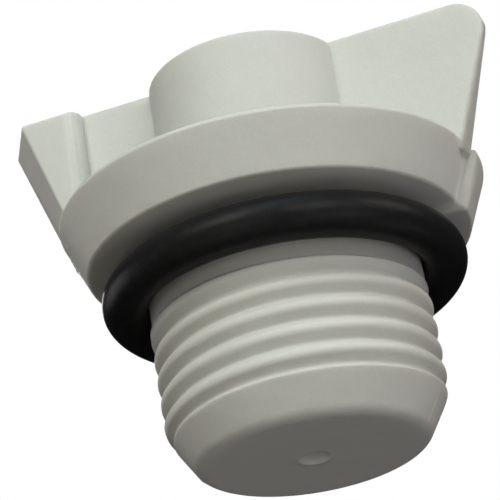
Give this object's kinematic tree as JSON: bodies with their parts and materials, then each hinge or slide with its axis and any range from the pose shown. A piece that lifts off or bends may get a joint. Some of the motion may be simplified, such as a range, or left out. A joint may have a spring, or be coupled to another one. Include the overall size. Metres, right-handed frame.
{
  "type": "transmission plug",
  "caption": "Wing-headed screw plug for a gearbox filler port: conical flange, hub with two hand wings, threaded shank with a tapered nose, and a rubber sealing ring.",
  "frame": {"origin": "on the screw axis, in the plane of the flange's underside, which faces the port", "axes": "+Z along the screw axis, from the thread up to the wing head; the two wings lie along X, and the mould's parting plane is the plane Y = 0"},
  "size_m": [0.0445, 0.036, 0.0357],
  "materials": {
    "plug_plastic": "moulded, fine matte grain, off-white with a faint warm green",
    "ring_rubber": "smooth black rubber with a soft sheen"
  },
  "bodies": {
    "root": {"plug_body": "plug_plastic", "o_ring": "ring_rubber"}
  },
  "joints": []
}
